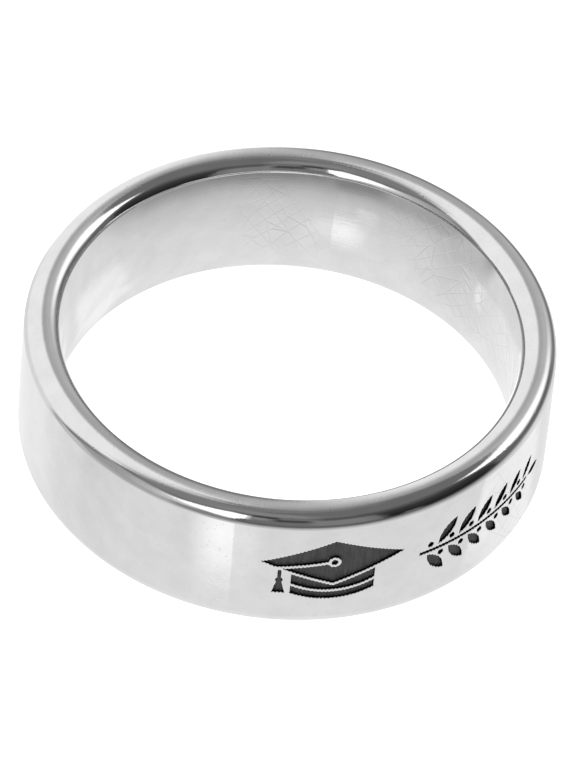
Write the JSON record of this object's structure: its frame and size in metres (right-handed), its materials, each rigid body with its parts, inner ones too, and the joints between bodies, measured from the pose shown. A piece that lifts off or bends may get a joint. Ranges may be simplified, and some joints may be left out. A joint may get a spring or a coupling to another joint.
{
  "type": "class ring",
  "caption": "Polished steel class ring: one plain band with rounded rims, a comfort-fit inside and a shallow blackened engraving of a mortarboard and a laurel sprig.",
  "frame": {"origin": "centre of the finger hole, at the lower rim that the ring rests on when it lies on its side", "axes": "+Z along the finger hole, away from the surface; -Y out through the middle of the engraving; +X to the right of somebody who faces the engraving"},
  "size_m": [0.021, 0.021, 0.006],
  "materials": {
    "steel": "mirror-polished stainless steel, with the engraving's floor darkened to near black"
  },
  "bodies": {
    "root": {"band": "steel"}
  },
  "joints": []
}
